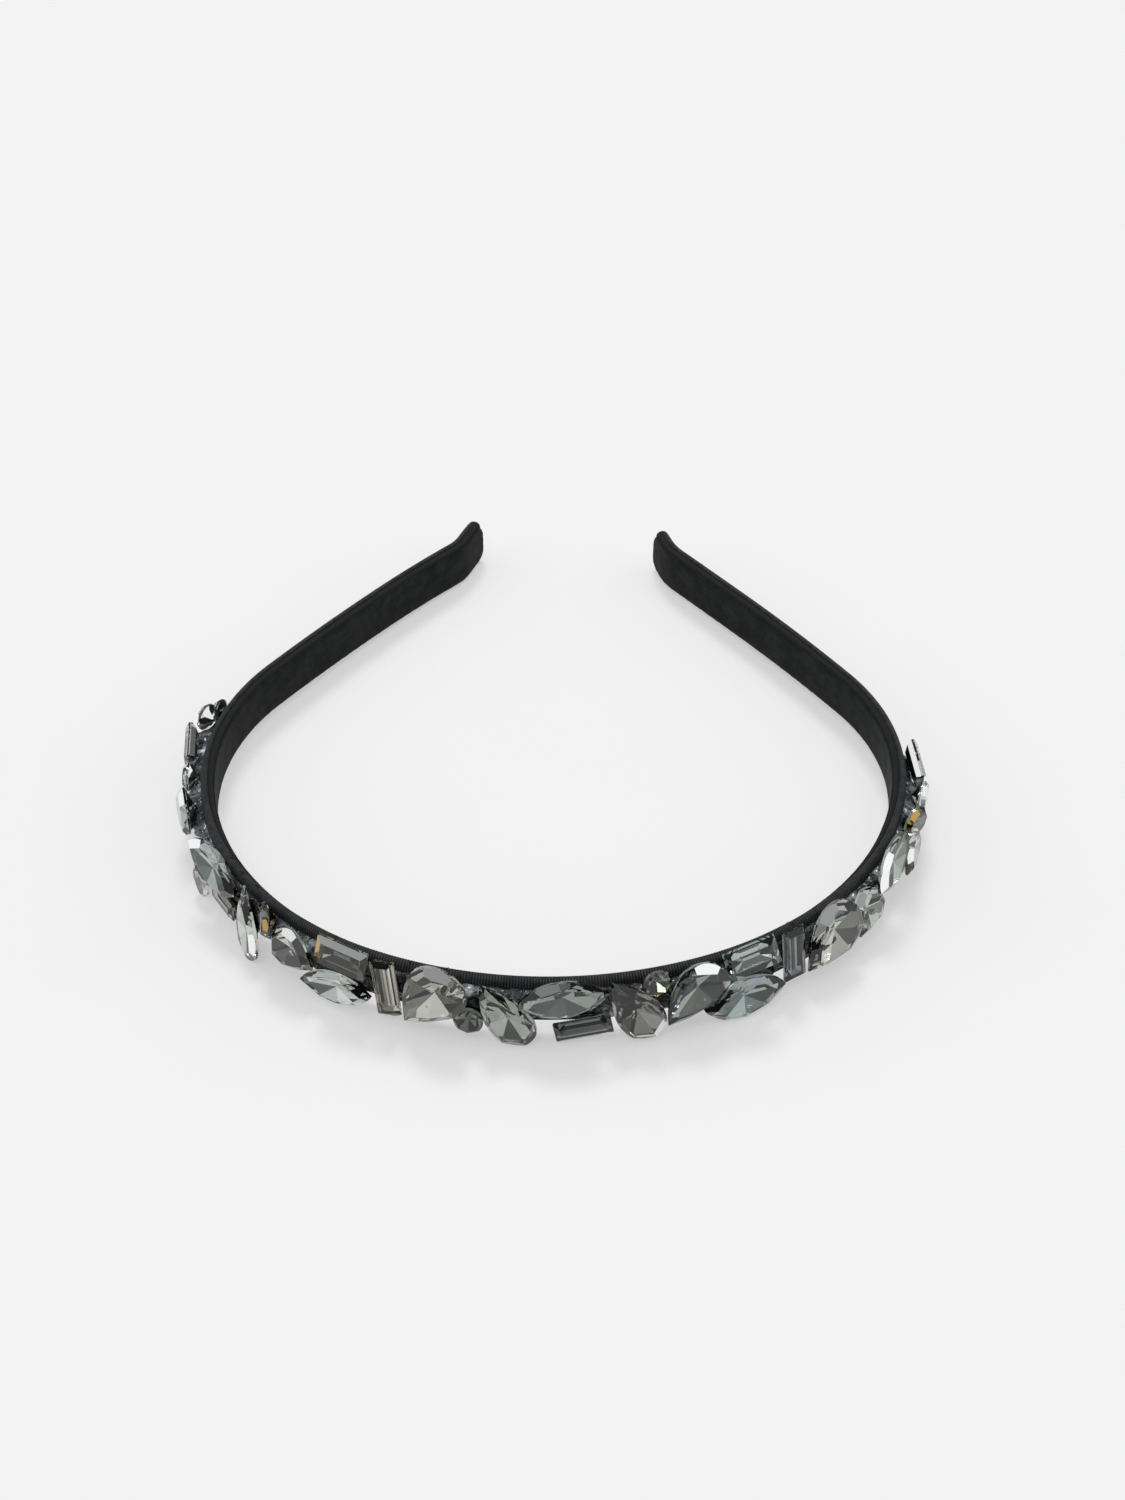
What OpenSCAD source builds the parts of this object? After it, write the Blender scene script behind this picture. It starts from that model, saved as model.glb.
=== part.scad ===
// Rhinestone headband: a ribbon-wrapped hair band with a row of foiled glass stones on its outside.
// It lies on a table, on its two tips and its lowest stones: +Z up, +Y towards the two tips.
// The origin is on the table, at the middle of the whole headband's plan.

/* [Band] */
// Width of the wrapped band, which is its height as it lies
band_w = 10; // [9:0.1:11]
// Thickness of the wrapped band
band_t = 2.3; // [2.2:0.1:2.8]
// Rounding of the band's rims
rim_r = 0.7; // [0.5:0.1:0.7]
// Length of the rounded end of each tip
tip_round = 2.5; // [1:0.1:3]

/* [Pose] */
// Angle in degrees at which the band falls from the crown to the tips
lie_back = 1.6; // [0:0.1:3]
// Height of the lower rim above the table at the crown, because the lowest stones carry it
rest_h = 3.63; // [3:0.01:5]
// Distance from the inner face at the crown back to the origin
crown_back = 63.2; // [55:0.1:70]
// Distance from the crown sideways to the origin
crown_side = 1.2; // [0:0.1:3]

/* [Lining] */
// Thickness of the soft lining strip
lining_t = 1; // [0.8:0.1:1.1]
// Width of the lining strip
lining_w = 6.8; // [6:0.1:7]
// Depth of the channel between the wrap's folded edges, in which the lining lies
channel_d = 0.7; // [0.5:0.1:0.8]
// Gap between the lining and the channel
lining_gap = 0.1; // [0.05:0.05:0.2]

/* [Glue] */
// Thickness of the clear glue under the stones
glue_t = 0.4; // [0.3:0.1:0.6]
// Width of the strip of glue
glue_w = 6.5; // [4:0.1:7]
// Gap between the glue and what it holds
glue_gap = 0.05; // [0.05:0.01:0.1]
// How far the glue runs along the left arm from the crown
glue_left = 113; // [100:1:120]
// How far the glue runs along the right arm from the crown
glue_right = 102; // [98:1:110]

/* [Stones] */
// Thickness of every stone's girdle
girdle_t = 0.5; // [0.3:0.1:0.7]
// Width of a stone's table as a share of its outline
table_share = 0.7; // [0.6:0.01:0.8]
// Slope width of a baguette's crown
baguette_bevel = 1.05; // [0.8:0.05:1.3]
// Corner cut of a baguette
baguette_corner = 0.3; // [0.2:0.05:0.5]
// Width of the blunt point at a stone's back as a share of its outline
culet_share = 0.08; // [0.05:0.01:0.12]
// Place of a pear's point from its middle towards the round end, as a share of half its length
culet_shift = 0.2; // [0.1:0.05:0.3]
// Gap between a stone's back and the glue
stone_gap = 0.1; // [0.1:0.05:0.3]

/* [Hidden] */
// Largest turn of the band between two of its sections, in degrees
bend_step = 4;

// Plan of the inner face, from the crown to each tip, a row for each bow of the arm.
// A negative radius bends the band outwards, and a very large one is straight.
BOW_RADIUS = 0;
BOW_LENGTH = 1;
RIGHT_ARM = [
    [78, 31], [64, 31], [51, 31], [43, 31], [400, 31], [2000, 19.5], [-14, 5.5], [2000, 4],
];
LEFT_ARM = [
    [77, 31], [58, 31], [50, 31], [46, 31], [500, 31], [250, 21], [-10, 4], [2000, 7],
];

// The stones from the left tip's side to the right one's. ALONG is the distance along the inner face
// from the crown, negative on the left arm. UP is the height of the middle over the lower rim.
// TURN turns the long side from the band's run, SWING turns the table towards the right arm's tip,
// LEAN turns it upwards, and OUT moves the stone away from the band.
NAME = 0;
CUT = 1;
ALONG = 2;
UP = 3;
TURN = 4;
LONG = 5;
WIDE = 6;
SWING = 7;
LEAN = 8;
OUT = 9;
STONES = [
    // name, cut, along, up, turn, long, wide, swing, lean, out
    ["round_1", "round", -111.5, 6.5, 0, 5, 5, 0, 0, 0],
    ["round_2", "round", -106.5, 9.5, 0, 5.5, 5.5, -15, 0, 0],
    ["baguette_1", "baguette", -98.8, 9, 0, 10, 4.5, 10, 0, 1],
    ["round_3", "round", -91.5, 8.5, 0, 5.5, 5.5, -5, 0, 0],
    ["pear_1", "pear", -83.5, 9, -100, 12, 8, 5, 0, 0.6],
    ["marquise_1", "marquise", -67, 9.5, -10, 15.5, 9, 10, 10, 0],
    ["pear_2", "pear", -72, 0.8, 90, 7, 5.5, 10, 0, 0.8],
    ["baguette_2", "baguette", -65, 2.5, 0, 8.5, 4, 0, 0, 0],
    ["pear_3", "pear", -56.5, 4.5, -75, 15.5, 8, -15, 5, 0],
    ["round_4", "round", -51.5, 9, 0, 6.5, 6.5, -30, 5, 0],
    ["pear_4", "pear", -44.8, 6, 160, 10, 9.5, 0, 5, 0.1],
    ["baguette_3", "baguette", -35, 10, -10, 10, 7.5, 5, 0, 0],
    ["marquise_2", "marquise", -36.5, 1.5, 10, 15.5, 7.5, 0, 0, 0],
    ["baguette_4", "baguette", -27, 5.5, -85, 13.5, 4.5, 5, 0, 0.1],
    ["pear_5", "pear", -19, 6.5, 55, 16, 11.5, -5, 5, 0.1],
    ["round_5", "round", -12.5, 1.5, 0, 5.5, 5.5, 0, 5, 0],
    ["pear_6", "pear", -6.5, 4.5, -60, 16.5, 8.5, 0, 0, 0],
    ["marquise_3", "marquise", 3.5, 8.7, 10, 16.5, 9, 0, 0, 0],
    ["baguette_5", "baguette", 7, 0.5, 10, 10.5, 4.5, 0, 0, 0],
    ["pear_7", "pear", 15.5, 5, -60, 16, 8.5, 0, 5, 0],
    ["round_6", "round", 19.5, 10, 0, 5.5, 5.5, 5, 5, 0],
    ["pear_8", "pear", 25.7, 6, 50, 15, 10.5, 0, 5, 0.2],
    ["marquise_4", "marquise", 35.5, 1, 0, 16.5, 9, 0, 5, 0],
    ["baguette_6", "baguette", 36.5, 10.3, 15, 10, 7.5, -10, 0, 0],
    ["baguette_7", "baguette", 45.5, 6, -85, 13, 4.5, -5, 0, 0],
    ["pear_9", "pear", 53, 6, 35, 15, 11.5, -5, 15, 0.2],
    ["pear_10", "pear", 62.8, 4.5, 45, 9.5, 8.5, 0, 20, 0.3],
    ["marquise_5", "marquise", 70.3, 11, 25, 13.5, 8.5, 0, 10, 0.4],
    ["pear_11", "pear", 77.5, 7, 45, 9, 8.5, 5, 5, 1],
    ["round_7", "round", 84, 8, 0, 6.5, 6.5, -25, 0, 0.2],
    ["round_8", "round", 89.5, 9, 0, 6, 6, -5, 0, 0.7],
    ["baguette_8", "baguette", 97.5, 9, 0, 11, 4, 5, 0, 0.2],
];

// Turning of a length along a bow, in degrees
function bow_turn(radius, length) = length / radius * 180 / PI;

// Pose [x, y, heading] after a bow that starts at the pose
function after_bow(pose, radius, length) =
    let (turn = bow_turn(radius, length), next = pose[2] + turn)
    [
        pose[0] + radius * (sin(next) - sin(pose[2])),
        pose[1] + radius * (cos(pose[2]) - cos(next)),
        next,
    ];

// Pose on an arm's inner face at a distance from the crown
function pose_at(arm, distance, i = 0, pose = [0, 0, 0]) =
    let (radius = arm[i][BOW_RADIUS], length = arm[i][BOW_LENGTH])
    distance <= length || i == len(arm) - 1
        ? after_bow(pose, radius, distance)
        : pose_at(arm, distance - length, i + 1, after_bow(pose, radius, length));

// Pose on the whole band at a distance along it, which is negative on the left arm
function band_pose(along) =
    let (side = along < 0 ? -1 : 1, pose = pose_at(side < 0 ? LEFT_ARM : RIGHT_ARM, abs(along)))
    [side * pose[0], pose[1], side * pose[2]];

// Distance from the crown at which bow i of an arm starts, and an arm's whole length
function bow_start(arm, i) = i == 0 ? 0 : bow_start(arm, i - 1) + arm[i - 1][BOW_LENGTH];
function arm_length(arm) = bow_start(arm, len(arm));

// Distances from the crown at which an arm has a section, with short steps where it bends
function arm_stations(arm, reach) = [
    for (i = [0:len(arm) - 1])
        let (steps = ceil(abs(bow_turn(arm[i][BOW_RADIUS], arm[i][BOW_LENGTH])) / bend_step))
        for (k = [1:steps])
            let (distance = bow_start(arm, i) + arm[i][BOW_LENGTH] * k / steps)
            if (distance < reach - 0.3) distance,
    reach,
];

// Distances along the whole band, from a reach on the left arm to one on the right arm
function band_stations(left_reach, right_reach) =
    let (left = arm_stations(LEFT_ARM, left_reach), last = len(left) - 1)
    concat([for (i = [last:-1:0]) -left[i]], [0], arm_stations(RIGHT_ARM, right_reach));

// A point at a distance along the band, out from its inner face and up from its lower rim
function band_point(along, out, up) =
    let (pose = band_pose(along)) [pose[0] + out * sin(pose[2]), pose[1] - out * cos(pose[2]), up];

// Lays what is drawn round the crown's inner lower rim on the table
module resting() {
    translate([-crown_side, -crown_back, rest_h]) rotate([-lie_back, 0, 0]) children();
}

// Solid whose section at each station is a list of [out, up] points, anticlockwise.
// Its two ends are closed with faces that are loops of the section's point numbers.
module sweep(stations, sections, ends) {
    n = len(sections[0]);
    last = len(stations) - 1;
    points = [
        for (i = [0:last]) for (p = sections[i]) band_point(stations[i], p[0], p[1])
    ];
    sides = [
        for (i = [0:last - 1], j = [0:n - 1])
            let (k = (j + 1) % n, a = i * n, b = a + n)
            for (f = [[a + j, a + k, b + j], [a + k, b + k, b + j]]) f
    ];
    first_end = [for (loop = ends) [for (i = [len(loop) - 1:-1:0]) loop[i]]];
    last_end = [for (loop = ends) [for (j = loop) last * n + j]];
    resting() polyhedron(points, concat(sides, first_end, last_end));
}

// Section of a strip of a width at mid height of the band, between two distances from its inner face
function strip_section(near, far, width) =
    let (low = (band_w - width) / 2, high = (band_w + width) / 2)
    [[near, low], [far, low], [far, high], [near, high]];

// Section of the wrapped band, with a cut off its edges and a channel of a depth in its inner face
function band_section(cut, channel) =
    let (
        low = cut,
        high = band_w - cut / 2,
        lip = (band_w - lining_w) / 2 - lining_gap,
        corner = function(x, y, a) [x + rim_r * cos(a), y + rim_r * sin(a)]
    )
    [
        for (a = [180, 225, 270]) corner(rim_r, low + rim_r, a),
        for (a = [270, 315, 360]) corner(band_t - rim_r, low + rim_r, a),
        for (a = [0, 45, 90]) corner(band_t - rim_r, high - rim_r, a),
        for (a = [90, 135, 180]) corner(rim_r, high - rim_r, a),
        [0, high - lip],
        [channel, high - lip],
        [channel, low + lip],
        [0, low + lip],
    ];

// Loops of a band section's points: its lower edge, its web and its upper edge
BAND_END = [[14, 15, 0, 1, 2, 3, 4, 5], [5, 6, 13, 14], [6, 7, 8, 9, 10, 11, 12, 13]];

// Places of the sections of a rounded tip, as shares of its length from the tip
TIP_SHARES = [1, 0.9, 0.6, 0.3, 0];

// Distances from the crown to an arm's sections, with those of its tip
function tipped_stations(arm) =
    let (length = arm_length(arm), plain = arm_stations(arm, length - tip_round))
    concat([for (i = [0:len(plain) - 2]) plain[i]], [for (f = TIP_SHARES) length - f * tip_round]);

module band() {
    left = tipped_stations(LEFT_ARM);
    right = tipped_stations(RIGHT_ARM);
    stations = concat([for (i = [len(left) - 1:-1:0]) -left[i]], [0], right);
    color([0.09, 0.09, 0.1]) sweep(stations, [
        for (s = stations)
            let (
                to_tip = arm_length(s < 0 ? LEFT_ARM : RIGHT_ARM) - abs(s),
                share = max(0, 1 - to_tip / tip_round),
                cut = tip_round * (1 - sqrt(1 - share * share))
            )
            band_section(cut, share < 0.01 ? channel_d : lining_gap)
    ], BAND_END);
}

// Sweeps one section along the band, as far as a reach on each arm
module strip(left_reach, right_reach, section) {
    stations = band_stations(left_reach, right_reach);
    sweep(stations, [for (s = stations) section], [[0, 1, 2, 3]]);
}

module lining() {
    near = channel_d - lining_gap - lining_t;
    color([0.12, 0.11, 0.11])
        strip(
            arm_length(LEFT_ARM) - tip_round - lining_gap,
            arm_length(RIGHT_ARM) - tip_round - lining_gap,
            strip_section(near, near + lining_t, lining_w)
        );
}

module glue_bed() {
    near = band_t + glue_gap;
    color([0.3, 0.36, 0.38, 0.6])
        strip(glue_left, glue_right, strip_section(near, near + glue_t, glue_w));
}

// Half width of a pear at x, both as shares of its half length and half width: the tip is at -1
function pear_side(x) = (1 + x) * sqrt(max(1 - x, 0) / 2) / 0.77;

// Outlines of the cuts as 16 points, anticlockwise, with the tips on even points
function round_outline(long, wide) =
    [for (i = [0:15]) [long / 2 * cos(i * 22.5), wide / 2 * sin(i * 22.5)]];
function pear_outline(long, wide) =
    [for (i = [0:15]) let (x = cos(i * 22.5), side = i < 8 ? 1 : -1)
        [long / 2 * x, wide / 2 * side * pear_side(x)]];
function marquise_outline(long, wide) =
    let (
        radius = (long * long + wide * wide) / (4 * wide),
        half_turn = asin(min(1, long / 2 / radius))
    )
    [for (i = [0:15]) let (side = i < 8 ? 1 : -1, a = half_turn * (1 - (i % 8) / 4))
        [side * radius * sin(a), side * (radius * cos(a) - radius + wide / 2)]];
function outline(cut, long, wide) =
    cut == "pear" ? pear_outline(long, wide)
        : cut == "marquise" ? marquise_outline(long, wide) : round_outline(long, wide);

// Points of an outline, every second one if asked, drawn in to a share round a centre, at a height
function ring(points, centre, share, z, step = 1) =
    [for (i = [0:step:len(points) - 1])
        [centre + (points[i][0] - centre) * share, points[i][1] * share, z]];

// Depths of a stone behind and before its girdle grow with its width
function pavilion_depth(wide) = 0.7 + 0.15 * wide;
function crown_height(wide) = 0.45 + 0.06 * wide;

// Facets between a small ring of n points and a large one of 2n, and between two rings of n
function star_facets(small, large, n, flip) =
    [for (j = [0:n - 1])
        let (
            s0 = small + j,
            s1 = small + (j + 1) % n,
            l0 = large + 2 * j,
            l1 = l0 + 1,
            l2 = large + (2 * j + 2) % (2 * n)
        )
        for (f = [[s0, s1, l1], [s0, l1, l0], [s1, l2, l1]]) flip ? [f[2], f[1], f[0]] : f];
function belt_facets(low, high, n) =
    [for (j = [0:n - 1]) let (k = (j + 1) % n)
        for (f = [[low + j, high + j, low + k], [high + j, high + k, low + k]]) f];

// A curved stone with its table towards +Z and its girdle's middle at z = 0
module curved_stone(cut, long, wide) {
    edge = outline(cut, long, wide);
    depth = pavilion_depth(wide);
    middle = cut == "pear" ? culet_shift * long / 2 : 0;
    points = concat(
        ring(edge, middle, culet_share, -girdle_t / 2 - depth, 2),
        ring(edge, middle, 0.6, -girdle_t / 2 - 0.55 * depth, 2),
        ring(edge, middle, 1, -girdle_t / 2),
        ring(edge, middle, 1, girdle_t / 2),
        ring(edge, middle, table_share, girdle_t / 2 + crown_height(wide), 2)
    );
    polyhedron(points, concat(
        [[for (j = [0:7]) j]],
        belt_facets(0, 8, 8),
        star_facets(8, 16, 8, true),
        belt_facets(16, 32, 16),
        star_facets(48, 32, 8, false),
        [[for (j = [7:-1:0]) 48 + j]]
    ));
}

// Corner-cut rectangle, a step of a baguette, at a height
function step_ring(long, wide, z) =
    let (x = long / 2, y = wide / 2, c = min(baguette_corner, y / 2))
    [
        [x - c, -y, z], [x, c - y, z], [x, y - c, z], [x - c, y, z],
        [c - x, y, z], [-x, y - c, z], [-x, c - y, z], [c - x, -y, z],
    ];

// A step-cut oblong stone with its table towards +Z and its girdle's middle at z = 0
module baguette(long, wide) {
    depth = pavilion_depth(wide);
    bevel = 2 * min(baguette_bevel, wide / 4);
    points = concat(
        step_ring(long - 0.9 * wide, 0.1 * wide, -girdle_t / 2 - depth),
        step_ring(long - 0.4 * wide, 0.6 * wide, -girdle_t / 2 - 0.6 * depth),
        step_ring(long, wide, -girdle_t / 2),
        step_ring(long, wide, girdle_t / 2),
        step_ring(long - bevel, wide - bevel, girdle_t / 2 + crown_height(wide))
    );
    polyhedron(points, concat(
        [[for (j = [0:7]) j]],
        [for (low = [0:8:24]) for (f = belt_facets(low, low + 8, 8)) f],
        [[for (j = [7:-1:0]) 32 + j]]
    ));
}

// A stone in its place on the band
module stone(row) {
    seat = band_t + glue_gap + glue_t + stone_gap;
    reach = seat + pavilion_depth(row[WIDE]) + girdle_t / 2 + row[OUT];
    color([0.5, 0.52, 0.52]) resting()
        translate(band_point(row[ALONG], reach, row[UP]))
            rotate([0, 0, band_pose(row[ALONG])[2] + row[SWING]])
            rotate([90 - row[LEAN], 0, 0]) rotate([0, 0, row[TURN]])
                if (row[CUT] == "baguette") baguette(row[LONG], row[WIDE]);
                else curved_stone(row[CUT], row[LONG], row[WIDE]);
}

band();
lining();
glue_bed();
for (row = STONES) stone(row);
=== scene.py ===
"""Rhinestone headband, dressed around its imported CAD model.

The file is laid out as an add-on with one operator for each piece or group of pieces,
and is run as a script. Sizes in the tables are millimetres, Blender's own are metres.
"""

import math
import random

import bpy
import numpy as np
from bpy.props import FloatProperty, FloatVectorProperty, IntProperty, PointerProperty
from mathutils import Matrix, Vector, noise
from mathutils.bvhtree import BVHTree


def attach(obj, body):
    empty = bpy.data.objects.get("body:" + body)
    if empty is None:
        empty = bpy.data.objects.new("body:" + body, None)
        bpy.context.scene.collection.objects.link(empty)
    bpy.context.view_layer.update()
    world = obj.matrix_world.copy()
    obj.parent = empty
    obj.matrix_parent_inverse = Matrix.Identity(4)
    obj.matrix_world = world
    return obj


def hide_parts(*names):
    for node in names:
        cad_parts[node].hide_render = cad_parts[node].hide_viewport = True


bl_info = {
    "name": "Rhinestone headband",
    "version": (1, 0, 0),
    "blender": (4, 5, 0),
    "location": "3D View > Sidebar > Headband",
    "description": "Ribbon-wrapped hair band with foiled glass stones, lining, glue and stage",
    "category": "Add Mesh",
}

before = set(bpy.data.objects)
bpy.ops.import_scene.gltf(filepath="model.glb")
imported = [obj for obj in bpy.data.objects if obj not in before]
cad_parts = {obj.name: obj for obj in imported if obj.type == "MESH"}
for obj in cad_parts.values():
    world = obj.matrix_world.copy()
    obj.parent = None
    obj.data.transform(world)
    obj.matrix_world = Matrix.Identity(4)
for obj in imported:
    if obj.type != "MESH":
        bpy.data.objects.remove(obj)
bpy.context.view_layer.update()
MM = 0.001
BODY = "root"

# Plan of the band's inner face from the crown to each tip: bow radius and bow length
RIGHT_ARM = (
    (78, 31), (64, 31), (51, 31), (43, 31), (400, 31), (2000, 19.5), (-14, 5.5), (2000, 4),
)
LEFT_ARM = ((77, 31), (58, 31), (50, 31), (46, 31), (500, 31), (250, 21), (-10, 4), (2000, 7))
LEFT_END, RIGHT_END = (sum(length for _, length in arm) for arm in (LEFT_ARM, RIGHT_ARM))
# Crown of the plan from the frame's origin, and how far the band leans back
CROWN = (1.2, 63.2, 3.63)
LIE_BACK = math.radians(1.6)

# Wrapped band: width, thickness, tips' rounding from below and from outside, least thickness
# there, how far from a tip its section starts to change, and how far from the crown the rim
# starts to thin. The ribs on its outer face are this crisp, in depth and in painted groove shade.
BAND_W = 10
BAND_T = 2.3
TIP_ROUND = 2.5
TIP_ROLL = 1.1
TIP_LEAST = 0.05
TIP_REACH = 4
FRONT_REACH = 45
OUTER_CRISP = 0.8

# Lining: width, its two faces out from the band's inner face, how far it laps over the folded
# edges, how its ends stop short and are snipped, and its back's gap to the folded edges
LINING_W = 6.8
LINING_NEAR = -0.4
LINING_FAR = 0.6
LINING_FAR_TIP = -0.08
LINING_LAP_LOW = 1.0
LINING_LAP_HIGH = 0.05
LINING_LAP_ARM = 0.9
LINING_STOP = 0.35
LINING_SNIP = 2.2
LIP_CLEAR = -0.14
LINING_T = 0.1

# Glue: its inner face, thickness and width in the solid, lowest and highest edge, reach along
# each arm, round ends, least rise, room under a stone, how far and how high it climbs to the
# stones' backs, and how often that climb is smoothed
GLUE_NEAR = 2.35
GLUE_T = 0.4
GLUE_W = 6.5
GLUE_LOW = (BAND_W - GLUE_W) / 2 - 0.3
GLUE_HIGH = (BAND_W + GLUE_W) / 2 + 0.3
GLUE_LEFT = 113
GLUE_RIGHT = 102
GLUE_ROUND = 2.2
GLUE_LEAST = 0.04
GLUE_CLEAR = 0.1
MOUND_REACH = 5
MOUND_TOP = 2.4
MOUND_SMOOTH = 8

# How crisp the ribs are, in depth and in the painted shade of their grooves: distance along the
# band and share
CRISPNESS = ((-120, 0.1), (-105, 0.4), (-60, 0.5), (-25, 0.7), (5, 1), (92, 1), (105, 0.1))

# Loose threads on the upper rim: distance along the band and out from its inner face, number
# of threads at a place and their radius
TUFTS = ((-62.5, 1.4), (-58, 1.2), (-66.8, 1.1), (-23.5, 1.5), (-17, 1.3), (-38.5, 1.5), (47, 1.3))
THREADS = 16
THREAD_R = 0.05

# Lumps of glue between stones: distance along the band, height, radius, rise and milkiness
GLUE_LUMPS = (
    (-103.4, 8, 1.4, 3.2, 0.2), (-99, 7.8, 1.1, 1.5, 1.0), (-94.8, 7, 1.2, 1.8, 0.3),
    (-88, 7, 1.6, 2.0, 0.3), (-78, 7.8, 1.4, 2.4, 0.2), (-75, 7.6, 1.2, 2.2, 0.2),
    (-48.5, 7.6, 1.2, 1.0, 0.2), (-42.5, 7.6, 1.3, 1.2, 0.35), (-29.5, 7.8, 1.2, 0.6, 0.3),
    (-15.5, 8, 1.2, 0.8, 0.4), (-12.3, 8, 1.3, 0.7, 0.4), (-9.8, 7.8, 0.9, 0.8, 0.4),
    (11.3, 2.6, 1.2, 1.5, 1.0), (28.5, 8, 1.0, 0.6, 0.6), (61, 7.6, 1.2, 1.4, 0.6),
    (69, 8, 1.0, 0.8, 0.4), (80.5, 7.5, 1.2, 1.2, 0.2), (87, 7.8, 1.4, 1.5, 0.4),
    (92.5, 7.5, 1.2, 1.6, 0.3),
)

# Stones, each named after its cut: distance along the band, height, turn, length, width, swing,
# lean, distance out, tone of the glass and tone of the foil behind it
STONES = {
    "round_1": (-111.5, 6.5, 0, 5, 5, 0, 0, 0, "olive", "gun"),
    "round_2": (-106.5, 9.5, 0, 5.5, 5.5, -15, 0, 0, "clear", "bright"),
    "baguette_1": (-98.8, 9, 0, 10, 4.5, 10, 0, 1, "smoke", "silver"),
    "round_3": (-91.5, 8.5, 0, 5.5, 5.5, -5, 0, 0, "cool", "bright"),
    "pear_1": (-83.5, 9, -100, 12, 8, 5, 0, 0.6, "cool", "silver"),
    "marquise_1": (-67, 9.5, -10, 15.5, 9, 10, 10, 0, "cool", "silver"),
    "pear_2": (-72, 0.8, 90, 7, 5.5, 10, 0, 0.8, "warm", "silver"),
    "baguette_2": (-65, 2.5, 0, 8.5, 4, 0, 0, 0, "warm", "silver"),
    "pear_3": (-56.5, 4.5, -75, 15.5, 8, -15, 5, 0, "clear", "silver"),
    "round_4": (-51.5, 9, 0, 6.5, 6.5, -30, 5, 0, "olive", "gun"),
    "pear_4": (-44.8, 6, 160, 10, 9.5, 0, 5, 0.1, "clear", "silver"),
    "baguette_3": (-35, 10, -10, 10, 7.5, 5, 0, 0, "olive", "silver"),
    "marquise_2": (-36.5, 1.5, 10, 15.5, 7.5, 0, 0, 0, "clear", "bright"),
    "baguette_4": (-27, 5.5, -85, 13.5, 4.5, 5, 0, 0.1, "brown", "silver"),
    "pear_5": (-19, 6.5, 55, 16, 11.5, -5, 5, 0.1, "warm", "silver"),
    "round_5": (-12.5, 1.5, 0, 5.5, 5.5, 0, 5, 0, "olive", "gun"),
    "pear_6": (-6.5, 4.5, -60, 16.5, 8.5, 0, 0, 0, "smoke", "silver"),
    "marquise_3": (3.5, 8.7, 10, 16.5, 9, 0, 0, 0, "slate", "silver"),
    "baguette_5": (7, 0.5, 10, 10.5, 4.5, 0, 0, 0, "slate", "gun"),
    "pear_7": (15.5, 5, -60, 16, 8.5, 0, 5, 0, "warm", "silver"),
    "round_6": (19.5, 10, 0, 5.5, 5.5, 5, 5, 0, "olive", "gun"),
    "pear_8": (25.7, 6, 50, 15, 10.5, 0, 5, 0.2, "slate", "silver"),
    "marquise_4": (35.5, 1, 0, 16.5, 9, 0, 5, 0, "cool", "silver"),
    "baguette_6": (36.5, 10.3, 15, 10, 7.5, -10, 0, 0, "cool", "silver"),
    "baguette_7": (45.5, 6, -85, 13, 4.5, -5, 0, 0, "cool", "gun"),
    "pear_9": (53, 6, 35, 15, 11.5, -5, 15, 0.2, "warm", "silver"),
    "pear_10": (62.8, 4.5, 45, 9.5, 8.5, 0, 20, 0.3, "warm", "bright"),
    "marquise_5": (70.3, 11, 25, 13.5, 8.5, 0, 10, 0.4, "smoke", "silver"),
    "pear_11": (77.5, 7, 45, 9, 8.5, 5, 5, 1, "clear", "silver"),
    "round_7": (84, 8, 0, 6.5, 6.5, -25, 0, 0.2, "olive", "gun"),
    "round_8": (89.5, 9, 0, 6, 6, -5, 0, 0.7, "clear", "silver"),
    "baguette_8": (97.5, 9, 0, 11, 4, 5, 0, 0.2, "clear", "silver"),
}
GLASS_TONES = {
    "clear": (0.75, 0.80, 0.77), "warm": (0.62, 0.65, 0.59), "cool": (0.43, 0.54, 0.54),
    "smoke": (0.43, 0.49, 0.45), "olive": (0.31, 0.35, 0.26), "brown": (0.48, 0.46, 0.39),
    "slate": (0.30, 0.35, 0.33),
}
# Power that lightens the glass tone of the crown facets, a painted highlight on the stones' bevels
CROWN_HIGHLIGHT = 0.48

# Single facets with painted light or gold: white mirror facets are painted glints, facets in a
# spectral colour are painted fire, and gold ones show gold foil. Part of the stone, direction seen
# from in front in degrees from the right, and colour
FLASHES = {
    "round_2": (("crown", 30, "white"), ("back", 60, "white"), ("back", 110, "white")),
    "pear_1": (("crown", 60, "white"),),
    "marquise_1": (("crown", 165, "white"),),
    "pear_3": (("crown", 10, "white"),),
    "round_3": (("back", 70, "white"), ("back", 110, "white")),
    "round_4": (
        ("crown", 10, "gold"), ("back", -20, "gold"), ("back", 30, "gold"), ("back", 80, "gold"),
    ),
    "pear_4": (("crown", 45, "white"), ("crown", 80, "white")),
    "baguette_3": (("crown", 180, "gold"), ("back", 180, "gold"), ("crown", 90, "white")),
    "baguette_4": (("spark", -60, "amber"),),
    "pear_5": (("crown", 60, "white"), ("spark", 235, "amber")),
    "pear_6": (("spark", 70, "brown"),),
    "marquise_3": (("crown", 110, "white"), ("crown", -70, "white")),
    "pear_7": (("crown", -60, "white"),),
    "round_6": (("spark", -30, "yellow"), ("spark", -80, "amber")),
    "pear_8": (("crown", 80, "white"), ("spark", -60, "violet"), ("spark", -35, "blue")),
    "marquise_4": (("spark", -75, "violet"),),
    "pear_9": (("crown", 110, "white"), ("spark", -60, "violet")),
    "pear_10": (("crown", 120, "white"),),
    "marquise_5": (("crown", 165, "white"), ("crown", 125, "white")),
    "pear_11": (("crown", 150, "white"),),
    "round_7": (("crown", 150, "gold"), ("crown", 105, "gold"), ("back", 145, "gold")),
    "round_8": (("crown", 100, "white"),),
    "baguette_8": (("crown", 180, "white"), ("back", 90, "white")),
}
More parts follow.
